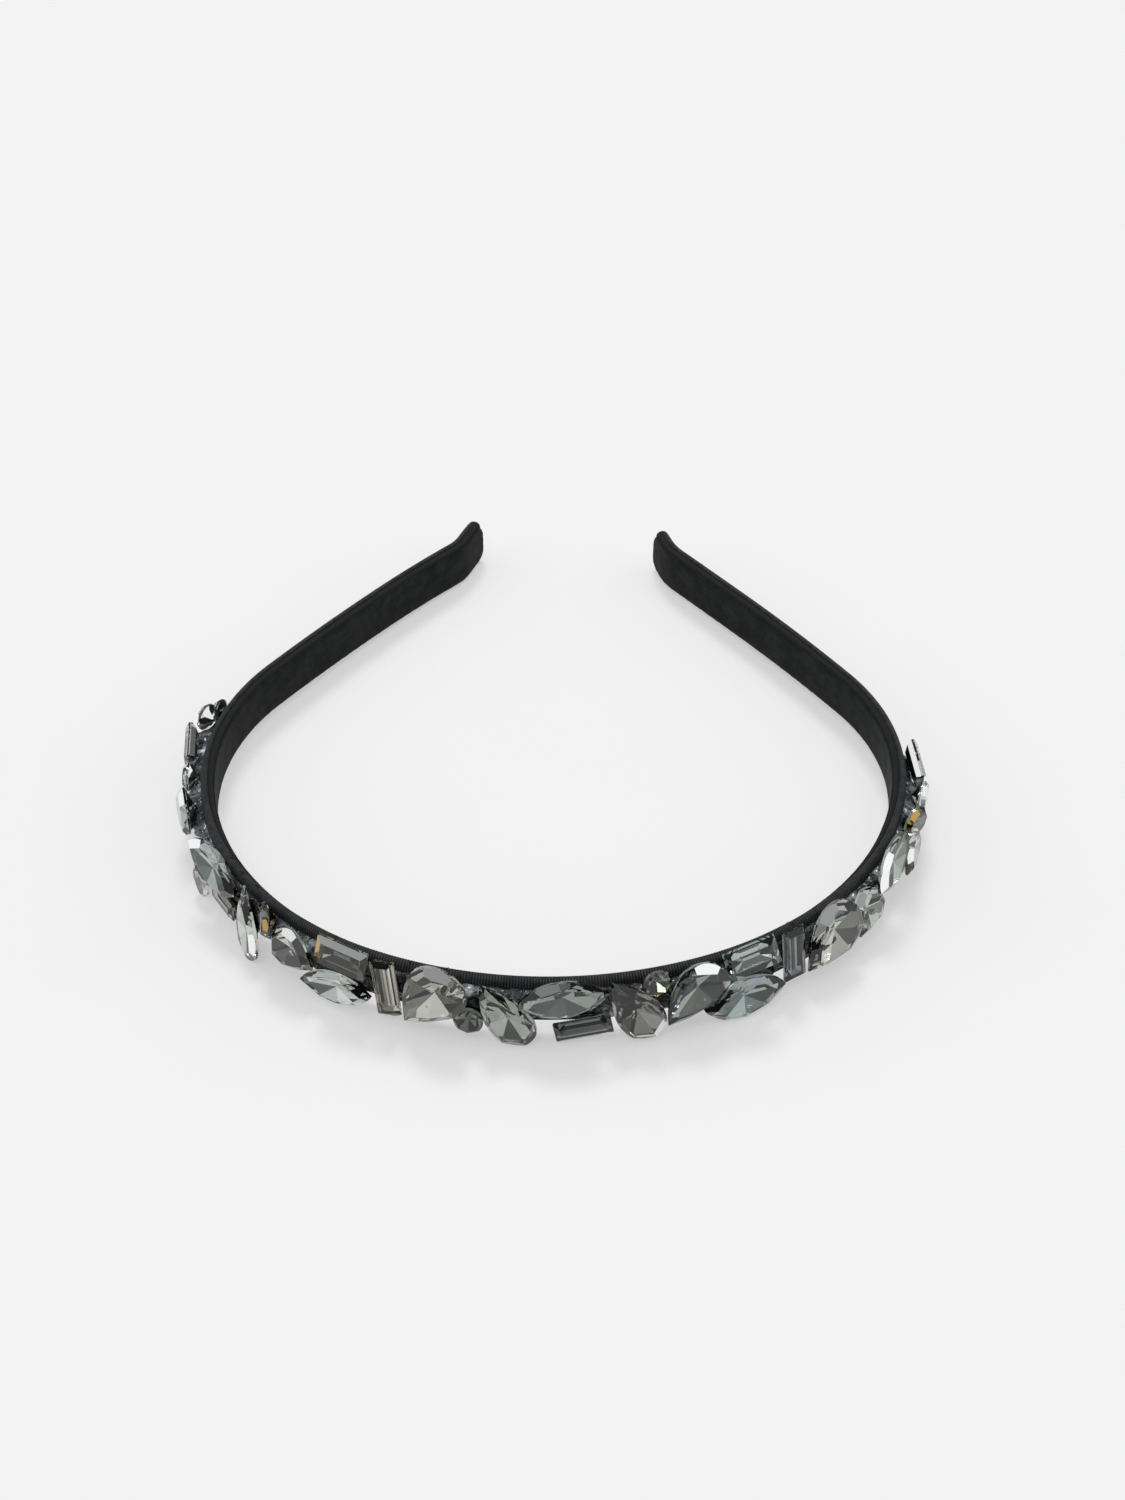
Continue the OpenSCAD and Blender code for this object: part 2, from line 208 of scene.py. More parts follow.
FLASH_TONES = {
    "white": (0.97, 0.98, 0.99), "gold": (0.5, 0.32, 0.1), "amber": (0.8, 0.36, 0.1),
    "brown": (0.35, 0.2, 0.1), "yellow": (0.75, 0.7, 0.25), "violet": (0.4, 0.36, 0.85),
    "blue": (0.4, 0.6, 0.9),
}
FOIL_TONES = {
    "silver": (0.88, 0.88, 0.85), "bright": (0.92, 0.93, 0.92), "gun": (0.45, 0.46, 0.46),
}
# Share of dark back facets, range of dark and of light shades, and least shade of a bright foil
DARK_SHARE = 0.3
DARK_SHADES = (0.12, 0.4)
LIGHT_SHADES = (0.75, 1.0)
BRIGHT_LEAST = 0.85

# Cut of the stones: gap to the glue's solid, height of the edge between crown and back, depth
# and crown height (both a least value and a share of the width), cut-off corner of a baguette,
# share of a pear's length from its middle to the centre of its facets, and width of a spark facet
STONE_GAP = 0.1
GIRDLE = 0.5
DEPTH = 0.7, 0.15
CROWN_RISE = 0.45, 0.06
CORNER = 0.3
PEAR_CENTRE = 0.1
SPARK_W = 0.5

# Camera and the point it looks at, in millimetres, and its roll in degrees
CAMERA_AT = (5.92, -422, 410.6)
CAMERA_AIM = (1.61, 7.4, 1.66)
CAMERA_ROLL = 0.13


class BandSettings(bpy.types.PropertyGroup):
    """Ribbon wrap and lining"""

    rib_pitch: FloatProperty(
        name="Rib pitch", description="Distance from rib to rib along the ribbon",
        default=0.51 * MM, subtype="DISTANCE",
    )
    rib_depth: FloatProperty(
        name="Rib depth", description="Height of a rib over the groove beside it",
        default=0.055 * MM, subtype="DISTANCE",
    )
    thread_length: FloatProperty(
        name="Thread length", description="Length of a loose thread on the rim",
        default=0.7 * MM, subtype="DISTANCE",
    )
    # Darkest ribbon tone: the grooves between ribs take it as painted shade, and where ribs are
    # faint it darkens the whole ribbon
    ribbon_and_groove_shade: FloatVectorProperty(
        name="Ribbon colour", description="Colour of the ribbed ribbon",
        default=(0.003, 0.0032, 0.0036), subtype="COLOR",
    )
    lining_colour: FloatVectorProperty(
        name="Lining colour", description="Colour of the soft lining",
        default=(0.0075, 0.0082, 0.0088), subtype="COLOR",
    )


class StoneSettings(bpy.types.PropertyGroup):
    """Glass, foil and glue"""

    refraction: FloatProperty(
        name="Refraction", description="How strongly the glass bends light", default=1.58,
    )
    mains: IntProperty(
        name="Main facets", description="Main facets round a curved stone", default=8,
    )
    table_share: FloatProperty(
        name="Table share", description="Width of a stone's flat front as a share of its outline",
        default=0.72, subtype="FACTOR",
    )
    glue_colour: FloatVectorProperty(
        name="Glue colour", description="Colour of the set glue",
        default=(0.007, 0.01, 0.012), subtype="COLOR",
    )


class StageSettings(bpy.types.PropertyGroup):
    """Floor, lights and camera"""

    floor_colour: FloatVectorProperty(
        name="Floor colour", description="Colour of the plain floor",
        default=(0.42, 0.42, 0.42), subtype="COLOR",
    )
    floor_glow: FloatProperty(
        name="Floor glow", description="Light that the floor gives of itself", default=0.43,
    )
    lens: FloatProperty(
        name="Lens", description="Focal length for a 36 mm long side", default=72 * MM,
        subtype="DISTANCE",
    )


class Wire:
    """A node socket that sums can be written with."""

    def __init__(self, nodes, socket):
        self.nodes = nodes
        self.socket = socket

    def maths(self, operation, *values):
        return self.nodes.node("ShaderNodeMath", {"operation": operation}, dict(enumerate(values)))

    def __add__(self, other):
        return self.maths("ADD", self, other)

    __radd__ = __add__

    def __sub__(self, other):
        return self.maths("SUBTRACT", self, other)

    def __rsub__(self, other):
        return self.maths("SUBTRACT", other, self)

    def __mul__(self, other):
        return self.maths("MULTIPLY", self, other)

    __rmul__ = __mul__

    def __truediv__(self, other):
        return self.maths("DIVIDE", self, other)

    def __pow__(self, other):
        return self.maths("POWER", self, other)

    def above(self, low, high):
        """0 up to low, 1 from high, smooth between them"""
        return self.nodes.node(
            "ShaderNodeMapRange", {"interpolation_type": "SMOOTHSTEP"},
            {"Value": self, "From Min": low, "From Max": high},
        )


class Nodes:
    """Adds nodes to a tree."""

    def __init__(self, tree):
        self.tree = tree
        tree.nodes.clear()

    def node(self, kind, settings=None, sockets=None, out=0):
        """A node of a kind, with its settings made first and then its sockets set or linked"""
        node = self.tree.nodes.new(kind)
        for name, value in (settings or {}).items():
            setattr(node, name, value)
        for name, value in (sockets or {}).items():
            self.give(node.inputs[name], value)
        return Wire(self, node.outputs[out]) if node.outputs else node

    def give(self, socket, value):
        if isinstance(value, Wire):
            self.tree.links.new(value.socket, socket)
        elif socket.type == "RGBA":
            socket.default_value = (*value, 1)
        else:
            socket.default_value = value

    def blend(self, factor, first, second):
        """Mixes two colours"""
        return self.node(
            "ShaderNodeMix", {"data_type": "RGBA"}, {0: factor, 6: first, 7: second}, out=2,
        )

    def speckle(self, size, detail=2.0, rough=0.5):
        """Noise in object coordinates, with grains of a size in metres"""
        place = self.node("ShaderNodeTexCoord", out=3)
        return self.node(
            "ShaderNodeTexNoise", {},
            {"Vector": place, "Scale": 1 / size, "Detail": detail, "Roughness": rough},
        )

    def bump(self, height, depth, strength=1.0):
        return self.node(
            "ShaderNodeBump", {}, {"Height": height, "Distance": depth, "Strength": strength},
        )

    def stored(self, name, number=True):
        """A value kept in the mesh"""
        return self.node("ShaderNodeAttribute", {"attribute_name": name}, out=2 if number else 0)

    def surface(self, sockets):
        shader = self.node("ShaderNodeBsdfPrincipled", {}, sockets)
        self.node("ShaderNodeOutputMaterial", {}, {"Surface": shader})


def material(name):
    """A new material and its node builder"""
    made = bpy.data.materials.new(name)
    made.use_nodes = True
    return made, Nodes(made.node_tree)


def ribbon_material(settings):
    """Black ribbed ribbon: fine weave in the ribs, browner and duller where worn, painted groove
    shade and rim highlight
    """
    made, n = material("grosgrain_ribbon")
    along = n.stored("along")
    around = n.stored("around")
    weave = n.node("ShaderNodeTexNoise", {}, {
        "Vector": n.node("ShaderNodeCombineXYZ", {}, {0: along / 0.32, 1: around / 0.09, 2: 0.0}),
        "Scale": 1.0, "Detail": 2.0,
    })
    worn = n.speckle(4 * MM, 3.0).above(0.45, 0.75)
    uneven = n.speckle(1.1 * MM, 2.0).above(0.25, 0.75)
    # Painted shade: the grooves between ribs take the darkest ribbon tone, the crests the thread
    # colour
    crest = n.stored("crest").above(0.45, 0.98) * (0.35 + uneven * 0.65)
    thread = n.blend(weave.above(0.3, 0.8) * 0.6, (0.038, 0.042, 0.047), (0.085, 0.092, 0.1))
    # Painted highlight: a lighter brown on the top of the arms' rim roll, where light catches it;
    # the same brown also marks random wear
    rim_highlight = n.stored("rim_highlight")
    worn_and_rim_highlight = n.blend(worn * 0.3 + rim_highlight * 0.7, thread, (0.085, 0.085, 0.062))
    ribs = n.blend(crest, settings.ribbon_and_groove_shade, worn_and_rim_highlight)
    fold = n.stored("fold") * 0.85
    n.surface({
        "Base Color": n.blend(fold, ribs, settings.lining_colour),
        "Roughness": 0.62 + weave * 0.2 + fold * 0.2,
        "Specular IOR Level": 0.24,
        "Sheen Weight": 0.04,
        "Sheen Roughness": 0.5,
        "Normal": n.bump(weave, 0.04 * MM, 0.7),
    })
    return made


def lining_material(settings):
    """Soft napped lining: mottled near-black pile with a faint sheen"""
    made, n = material("suede_lining")
    pile = n.speckle(0.25 * MM, 3.0, rough=0.7)
    mottle = n.speckle(3.5 * MM, 4.0, rough=0.65)
    tone = n.blend(mottle.above(0.35, 0.7), settings.lining_colour, (0.0175, 0.0182, 0.0188))
    n.surface({
        "Base Color": n.blend(pile.above(0.5, 0.8) * 0.35, tone, (0.028, 0.029, 0.03)),
        "Roughness": 0.85 + pile * 0.1,
        "Specular IOR Level": 0.12,
        "Sheen Weight": 0.06,
        "Sheen Roughness": 0.4,
        "Normal": n.bump(pile, 0.08 * MM, 0.8),
    })
    return made


def glass_material(settings):
    """Smoky cut glass, toned by each stone, with faint haze from handling"""
    made, n = material("smoky_glass")
    haze = n.speckle(2.2 * MM, 3.0)
    tone = n.stored("tone", number=False)
    n.surface({
        "Base Color": n.blend(haze.above(0.3, 0.8) * 0.12, tone, (0.9, 0.9, 0.88)),
        "Roughness": haze.above(0.55, 0.9) * 0.05,
        "Transmission Weight": 1.0,
        "IOR": settings.refraction,
    })
    return made


def foil_material():
    """Metal foil on the stones' backs, toned facet by facet"""
    made, n = material("stone_foil")
    grain = n.speckle(0.5 * MM, 2.0)
    tone = n.stored("tone", number=False)
    n.surface({
        "Base Color": n.blend(grain.above(0.3, 0.9) * 0.08, tone, (0.3, 0.3, 0.3)),
        "Metallic": 1.0,
        "Roughness": 0.015 + grain * 0.02,
    })
    return made


def glue_material(settings):
    """Set glue: glassy and dark over the ribbon, milky where it is thick"""
    made, n = material("set_glue")
    lumps = n.speckle(0.9 * MM, 1.0, rough=0.4)
    milky = n.stored("milky") * n.speckle(0.8 * MM, 3.0).above(0.3, 0.62)
    cloudy = n.speckle(1.6 * MM, 2.0).above(0.4, 0.7)
    tint = n.blend(cloudy, settings.glue_colour, (0.02, 0.027, 0.031))
    n.surface({
        "Base Color": n.blend(milky, tint, (0.75, 0.8, 0.86)),
        "Roughness": 0.22 - milky * 0.18 + lumps * 0.05,
        "Specular IOR Level": 0.5,
        "Normal": n.bump(lumps, 0.35 * MM, 1.0),
    })
    return made


def band_pose(along):
    """Position and heading of the inner face at distances along the band, below 0 on the left"""
    along = np.atleast_1d(np.asarray(along, float))
    pose = np.zeros((3, len(along)))
    for side, arm in ((1, RIGHT_ARM), (-1, LEFT_ARM)):
        here = (along >= 0) if side == 1 else (along < 0)
        left = np.abs(along[here])
        x, y, heading = np.zeros((3, len(left)))
        for i, (radius, length) in enumerate(arm):
            step = left if i == len(arm) - 1 else np.minimum(left, length)
            left = left - step
            turned = heading + step / radius
            x = x + radius * (np.sin(turned) - np.sin(heading))
            y = y + radius * (np.cos(heading) - np.cos(turned))
            heading = turned
        pose[:, here] = side * x, y, side * heading
    return pose


def resting(points):
    """Points of the band's own frame, in millimetres, laid on the table in metres"""
    c, s = math.cos(LIE_BACK), math.sin(LIE_BACK)
    x, y, z = np.asarray(points, float).T
    return np.stack([x - CROWN[0], y * c + z * s - CROWN[1], z * c - y * s + CROWN[2]], 1) * MM


def band_points(along, out, up):
    """Points at distances along the band, out from its inner face and up from its lower rim"""
    x, y, heading = band_pose(along)
    return np.stack([x + out * np.sin(heading), y - out * np.cos(heading), up + 0 * x], 1)


def ripple(along, up, long, high=1, seed=0):
    """Noise over a swept skin, with waves of a length and a height in millimetres"""
    return noise.noise(Vector((along / long, up / high, seed)))


def shown(name, data):
    """An object in the scene for a mesh, a light or a camera"""
    made = bpy.data.objects.new(name, data)
    bpy.context.scene.collection.objects.link(made)
    return made


def new_object(name, points, faces, materials, smooth=True):
    """An object at the origin with its place in its mesh"""
    mesh = bpy.data.meshes.new(name)
    mesh.from_pydata([tuple(p) for p in points], [], faces)
    mesh.polygons.foreach_set("use_smooth", [smooth] * len(mesh.polygons))
    for m in materials:
        mesh.materials.append(m)
    return shown(name, mesh)


def keep_values(mesh, name, values):
    """Keeps a number for each point in the mesh"""
    kept = mesh.attributes.new(name, "FLOAT", "POINT")
    kept.data.foreach_set("value", np.asarray(values, np.float32))


def finish_piece(piece, slot, *nodes):
    """The piece stands for CAD nodes and moves with the headband"""
    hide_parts(*nodes)
    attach(piece, BODY)


def swept(name, stations, sections, materials):
    """Closed skin through a section at each station, a list of (out, up) points anticlockwise"""
    rings, count = len(stations), len(sections[0])
    along = np.repeat(stations, count)
    points = band_points(along, *np.reshape(sections, (-1, 2)).T)
    faces = []
    for start in range(0, (rings - 1) * count, count):
        for j in range(count):
            a, b = start + j, start + (j + 1) % count
            faces.append((a, a + count, b + count, b))
    faces.append(tuple(range(count)))
    faces.append(tuple(rings * count - 1 - j for j in range(count)))
    made = new_object(name, resting(points), faces, materials)
    keep_values(made.data, "along", along)
    return made


def tip_edges(to_tip):
    """Lower and upper edge of the band at a distance from its rounded tip"""
    share = min(1, max(0, 1 - to_tip / TIP_ROUND))
    cut = TIP_ROUND * (1 - math.sqrt(1 - share * share))
    return cut, BAND_W - cut / 2


def from_tip(along):
    """Distance along the band to the nearer tip"""
    return (LEFT_END if along < 0 else RIGHT_END) - abs(along)


def tip_share(to_tip):
    """1 in the last millimetre before a tip, 0 from where its section starts to change"""
    return min(1, max(0, (TIP_REACH - to_tip) / (TIP_REACH - 1)))


def arm_share(along):
    """0 over the front of the band, 1 on the stoneless arms"""
    return min(1, max(0, (abs(along) - FRONT_REACH) / (GLUE_RIGHT - FRONT_REACH)))


def wrap_profile(on_arm, at_tip):
    """Profile of the wrap: a rolled rim, a furrow and a folded edge beside the lining.

    The rim thins on the stoneless arms, and the furrow closes at the tips. Each point is (out, up,
    ribbed, fold, rim highlight): the ribs' share of their depth there, 1 on the folded edge, and 1
    on the part of the rim that light catches, where a lighter brown is painted as a highlight.
    """
    def rolled(radius, last, rest, lift=0):
        """A rim rolled up to an angle in degrees, and the points after it"""
        out, up = BAND_T - radius, BAND_W - radius + lift
        turn = np.radians(np.linspace(0, last, 11))
        return [(out + radius * math.cos(a), up + radius * math.sin(a)) for a in turn] + rest

    lip = [(0, 8.5), (0.25, 8.4), (0.62, 8.3)]
    front = [(0.26, 8.96), (0.2, 8.98), (0.08, 8.96), (-0.05, 8.86), (-0.1, 8.64)] + lip
    arm = [(1.24, 9.3), (1.1, 9.56), (0.66, 9.72), (0.12, 9.5), (-0.1, 9.05)] + lip
    tip = [(1.1, 9.98), (0.75, 9.9), (0.4, 9.7), (0.15, 9.4), (0.03, 9.1)]
    tip = rolled(0.78, 90, tip + [(0, up) for _, up in lip])
    places = np.array(rolled(1.02, 178, front, lift=0.18))
    for section, share in ((rolled(0.5, 175, arm), on_arm), (tip, at_tip)):
        places = places + (np.array(section) - places) * share
    ribbed = [1] * 11 + [0, 0.15, 0.2, 0.2, 0.2, 0.1, 0, 0]
    fold = [0] * 11 + [1] * 8
    # Painted highlight: share of a lighter brown on the top of the rim roll, where light catches it
    rim_highlight = [0, 0.3, 0.8, 1, 1, 0.8, 0.3] + [0] * 12
    upper = [(*place, *shares) for place, *shares in zip(places, ribbed, fold, rim_highlight)]
    lower = [(out, BAND_W - up, r * 0.5, f, 0) for out, up, r, f, _ in reversed(upper)]
    outer = [(BAND_T, z, 1, 0, 0) for z in (2.8, 5.0, 7.2)]
    return lower + outer + upper


def wrap_section(along):
    """Section of the wrap at a place along the band, lower and thinner at its tips"""
    to_tip = from_tip(along)
    low, high = tip_edges(to_tip)
    thin = math.sqrt(max(TIP_LEAST, 1 - max(0, 1 - to_tip / TIP_ROLL) ** 2))
    return [
        (BAND_T / 2 + (out - BAND_T / 2) * thin, low + up * (high - low) / BAND_W)
        for out, up, *_ in wrap_profile(arm_share(along), tip_share(to_tip))
    ]


def begun_tree(name, sockets):
    """A geometry nodes tree with named inputs: its node builder and its inputs"""
    tree = bpy.data.node_groups.new(name, "GeometryNodeTree")
    face = tree.interface
    face.new_socket("Geometry", in_out="INPUT", socket_type="NodeSocketGeometry")
    for label, kind, value in sockets:
        made = face.new_socket(label, in_out="INPUT", socket_type="NodeSocket" + kind)
        made.default_value = value
    face.new_socket("Material", in_out="INPUT", socket_type="NodeSocketMaterial")
    face.new_socket("Geometry", in_out="OUTPUT", socket_type="NodeSocketGeometry")
    n = Nodes(tree)
    given = tree.nodes.new("NodeGroupInput")
    return n, {s.name: Wire(n, s) for s in given.outputs if s.name}


def ended_tree(n, geometry, inputs):
    """The tree, ended in a plain mesh of its one material"""
    whole = n.node("GeometryNodeRealizeInstances", {}, {"Geometry": geometry})
    dress = {"Geometry": whole, "Material": inputs["Material"]}
    n.node("NodeGroupOutput", {}, {"Geometry": n.node("GeometryNodeSetMaterial", {}, dress)})
    return n.tree


def grosgrain_tree(settings):
    """Geometry nodes that raise a ribbon's cross ribs along its length"""
    n, inputs = begun_tree("grosgrain_ribs", (
        ("Rib Pitch", "Float", settings.rib_pitch), ("Rib Depth", "Float", settings.rib_depth),
    ))

    def attribute(name):
        return n.node("GeometryNodeInputNamedAttribute", {"data_type": "FLOAT"}, {"Name": name})

    turns = attribute("along") * MM / inputs["Rib Pitch"]
    crest = turns.maths("ABSOLUTE", turns.maths("SINE", turns * math.pi))
    uneven = n.node("ShaderNodeTexNoise", {}, {"Scale": 1 / (1.5 * MM), "Detail": 1.0})
    uneven = uneven * 0.9 + 0.55
    crisp = attribute("crisp")
    rise = (crest ** 0.45 - 0.5) * uneven * inputs["Rib Depth"] * attribute("ribbed") * crisp
    # Painted shade for the ribbon's colour: low in the grooves between ribs, high on their crests,
    # evened out where the ribs are less crisp
    shade = 0.75 + (crest - 0.75) * crisp
    offset = n.node(
        "ShaderNodeVectorMath", {"operation": "SCALE"},
        {"Vector": n.node("GeometryNodeInputNormal"), "Scale": rise},
    )
    raised = n.node(
        "GeometryNodeSetPosition", {}, {"Geometry": inputs["Geometry"], "Offset": offset},
    )
    toned = n.node(
        "GeometryNodeStoreNamedAttribute", {"data_type": "FLOAT"},
        {"Geometry": raised, "Name": "crest", "Value": shade},
    )
    return ended_tree(n, toned, inputs)


def grown(piece, tree, values):
    """Runs a geometry nodes tree on a piece and keeps the plain mesh"""
    modifier = piece.modifiers.new(tree.name, "NODES")
    modifier.node_group = tree
    for item in tree.interface.items_tree:
        if item.in_out == "INPUT" and item.name in values:
            modifier[item.identifier] = values[item.name]
    graph = bpy.context.evaluated_depsgraph_get()
    mesh = bpy.data.meshes.new_from_object(piece.evaluated_get(graph))
    piece.modifiers.remove(modifier)
    piece.data = mesh
    mesh.polygons.foreach_set("use_smooth", [True] * len(mesh.polygons))


class HEADBAND_OT_wrap(bpy.types.Operator):
    """Makes the ribbed ribbon that wraps the band"""

    bl_idname = "headband.wrap"
    bl_label = "Ribbon wrap"

    def execute(self, context):
        settings = context.scene.headband_band
        step = settings.rib_pitch / MM / 3
        stations = step * np.arange(math.ceil(-LEFT_END / step), RIGHT_END / step)
        stations = np.concatenate([[-LEFT_END], stations, [RIGHT_END]])
        ribbon = ribbon_material(settings)
        wrap = swept("ribbon_wrap", stations, [wrap_section(s) for s in stations], [ribbon])
        out, up, ribbed, fold, rim_highlight = np.transpose(wrap_profile(0, 0))
        outside = np.where((out > BAND_T - 0.2) & (up < 9), OUTER_CRISP, 0)
        crispness = np.interp(stations, *zip(*CRISPNESS))
        # The painted rim highlight shows only far out on the arms
        seen = [max(0, arm_share(s) * 4 - 3) for s in stations]
        around = np.append(0, np.cumsum(np.hypot(np.diff(out), np.diff(up))))
        every = np.ones(len(stations))
        for name, values in (
            ("ribbed", np.outer(every, ribbed)), ("crisp", np.maximum.outer(crispness, outside)),
            ("fold", np.outer(every, fold)), ("rim_highlight", np.outer(seen, rim_highlight)),
            ("around", np.outer(every, around)),
        ):
            keep_values(wrap.data, name, values.ravel())
        grown(wrap, grosgrain_tree(settings), {
            "Rib Pitch": settings.rib_pitch, "Rib Depth": settings.rib_depth, "Material": ribbon,
        })
        finish_piece(wrap, "ribbon", "band")
        return {"FINISHED"}


def loose_threads_tree(settings):
    """Geometry nodes that grow a few bent threads from each point"""
    n, inputs = begun_tree("loose_threads", (
        ("Thread Length", "Float", settings.thread_length),
        ("Thread Radius", "Float", THREAD_R * MM), ("Threads", "Int", THREADS),
    ))
    length = inputs["Thread Length"]

    def corner(x, z):
        return n.node("ShaderNodeCombineXYZ", {}, {"X": length * x, "Z": length * z})

    bend = n.node("GeometryNodeCurveQuadraticBezier", {}, {
        "Resolution": 5, "Start": corner(0, -0.3), "Middle": corner(0.05, 0.7),
        "End": corner(0.7, 0.9),
    })
    ring = n.node("GeometryNodeCurvePrimitiveCircle", {}, {
        "Resolution": 5, "Radius": inputs["Thread Radius"],
    })
    thread = n.node(
        "GeometryNodeCurveToMesh", {}, {"Curve": bend, "Profile Curve": ring, "Fill Caps": True},
    )
    tufts = n.node(
        "GeometryNodeDuplicateElements", {"domain": "POINT"},
        {"Geometry": inputs["Geometry"], "Amount": inputs["Threads"]},
    )
    turn = n.node(
        "FunctionNodeRandomValue", {"data_type": "FLOAT_VECTOR"},
        {0: (-0.8, -0.8, -3.1), 1: (0.8, 0.8, 3.1), "Seed": 4},
    )
    size = n.node(
        "FunctionNodeRandomValue", {"data_type": "FLOAT"}, {2: 0.4, 3: 1.2, "Seed": 7}, out=1,
    )
    grown_threads = n.node("GeometryNodeInstanceOnPoints", {}, {
        "Points": tufts, "Instance": thread, "Rotation": turn, "Scale": size,
    })
    return ended_tree(n, grown_threads, inputs)


class HEADBAND_OT_threads(bpy.types.Operator):
    """Makes the loose threads on the ribbon's upper rim"""

    bl_idname = "headband.threads"
    bl_label = "Loose threads"

    def execute(self, context):
        settings = context.scene.headband_band
        roots = [resting(band_points(s, out, BAND_W - 0.05))[0] for s, out in TUFTS]
        threads = new_object("loose_threads", roots, [], [])
        ribbon = bpy.data.materials["grosgrain_ribbon"]
        grown(threads, loose_threads_tree(settings), {
            "Thread Length": settings.thread_length, "Material": ribbon,
        })
        # Fixed values for the ribbon's colour: 0.8 puts the threads near the light end of its
        # painted groove shade
        for name in ("along", "around", "crest"):
            keep_values(threads.data, name, np.full(len(threads.data.vertices), 0.8))
        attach(threads, BODY)
        return {"FINISHED"}


def lining_section(along):
    """Section of the lining: a strip between the folded edges, laps over them, and a napped back"""
    to_tip = from_tip(along)
    bottom, top = tip_edges(to_tip)
    low = (BAND_W - LINING_W) / 2 + bottom * 0.8
    high = (top + LINING_W) / 2 + (top - BAND_W) * 0.3
    under = low - LINING_LAP_LOW
    over = high + LINING_LAP_HIGH + LINING_LAP_ARM * arm_share(along)
    snip = max(0, 1 - to_tip / LINING_SNIP) ** 2 * LINING_SNIP
    high, over = high - snip, over - snip
    far = LINING_FAR + (LINING_FAR_TIP - LINING_FAR) * tip_share(to_tip)
    section = [
        (LIP_CLEAR, under), (LIP_CLEAR, low), (far, low), (far, high),
        (LIP_CLEAR, high), (LIP_CLEAR, over),
    ]
    back = LIP_CLEAR - LINING_T
    for up in np.linspace(over, under, 21):
        edge = min(up - under, over - up)
        puff = (1 - math.exp(-edge / 0.3)) * (back - LINING_NEAR)
        grain = ripple(along, up, 2.5, 1.5, 3) * 0.05 + ripple(along, up, 0.7, 0.7, 9) * 0.04
        fray = ripple(along, 7 if up > BAND_W / 2 else 1, 1.1) * 0.12 if edge < 0.01 else 0
        section.append((back - puff + grain * min(1, edge / 0.5), up + fray))
    return section


class HEADBAND_OT_lining(bpy.types.Operator):
    """Makes the soft lining inside the band"""

    bl_idname = "headband.lining"
    bl_label = "Lining"

    def execute(self, context):
        cloth = lining_material(context.scene.headband_band)
        inner = TIP_REACH + 0.4
        stations = np.concatenate([
            np.linspace(LINING_STOP - LEFT_END, TIP_REACH - LEFT_END, 20),
            np.linspace(inner - LEFT_END, RIGHT_END - inner, 620),
            np.linspace(RIGHT_END - TIP_REACH, RIGHT_END - LINING_STOP, 20),
        ])
        sections = [lining_section(s) for s in stations]
        finish_piece(swept("soft_lining", stations, sections, [cloth]), "lining", "lining")
        return {"FINISHED"}


def outline(cut, long, wide, count=64):
    """Plan of a stone, anticlockwise: a pear's point and a marquise's two points lie along x"""
    if cut == "baguette":
        x, y, c = long / 2, wide / 2, CORNER
        return np.array([
            (x, c - y), (x, y - c), (x - c, y), (c - x, y),
            (-x, y - c), (-x, c - y), (c - x, -y), (x - c, -y),
        ])
    if cut == "marquise":
        radius = (long * long + wide * wide) / (4 * wide)
        half = math.asin(min(1, long / 2 / radius))
        points = []
        for i in range(count):
            side = 1 if i < count // 2 else -1
            a = half * (1 - (i % (count // 2)) / (count // 4))
            across = radius * math.cos(a) - radius + wide / 2
            points.append((side * radius * math.sin(a), side * across))
        return np.array(points)
    angles = np.arange(count) * 2 * math.pi / count
    x, y = np.cos(angles), np.sin(angles)
    if cut == "pear":
        peak = 0.77
        y = np.sign(y) * (1 + x) * np.sqrt(np.maximum(1 - x, 0) / 2) / peak
    return np.stack([x * long / 2, y * wide / 2], 1)


def slope(normal, near, far):
    """Plane whose slope runs through two (distance, height) points along a plan direction"""
    rise = Vector((near[0] - far[0], near[1] - far[1]))
    across = Vector((rise.y, -rise.x)).normalized()
    if across.x < 0:
        across.negate()
    full = np.array([normal[0] * across.x, normal[1] * across.x, across.y])
    return full, across.x * near[0] + across.y * near[1]


def clipped(faces, plane, kind):
    """Cuts a convex solid, a list of (kind, corners), along a plane and closes the cut"""
    normal, reach = plane
    kept, rim, crossed = [], [], False
    for name, corners in faces:
        over = corners @ normal - reach
        if (over <= 1e-7).all():
            kept.append((name, corners))
            rim.extend(corners[np.abs(over) <= 1e-7])
            continue
        crossed = True
        new = []
        for i in range(len(corners)):
            a, b, da, db = corners[i], corners[i - 1], over[i], over[i - 1]
            if (da < 0) != (db < 0) and abs(da - db) > 1e-12:
                new.append(b + (a - b) * db / (db - da))
                rim.append(new[-1])
            if da < 0:
                new.append(a)
        if len(new) > 2:
            kept.append((name, np.array(new)))
    if not crossed or len(rim) < 3:
        return kept
    points = np.array(rim)
    points = points[np.unique(np.round(points, 5), axis=0, return_index=True)[1]]
    if len(points) < 3:
        return kept
    middle = points.mean(0)
    side = np.cross(normal, [1, 0, 0] if abs(normal[0]) < 0.8 else [0, 1, 0])
    side /= np.linalg.norm(side)
    other = np.cross(normal, side)
    order = np.argsort(np.arctan2((points - middle) @ other, (points - middle) @ side))
    kept.append((kind, points[order]))
    return kept


def chords(edge, count):
    """Plan directions of facets along an outline"""
    step = len(edge) // count
    found = []
    for i in range(count):
        a, b = edge[i * step], edge[(i + 1) * step % len(edge)]
        normal = np.array([b[1] - a[1], a[0] - b[0]])
        normal /= np.linalg.norm(normal)
        found.append(normal)
    return found


def stone_depth(wide):
    """Depth of a stone's back"""
    return DEPTH[0] + DEPTH[1] * wide


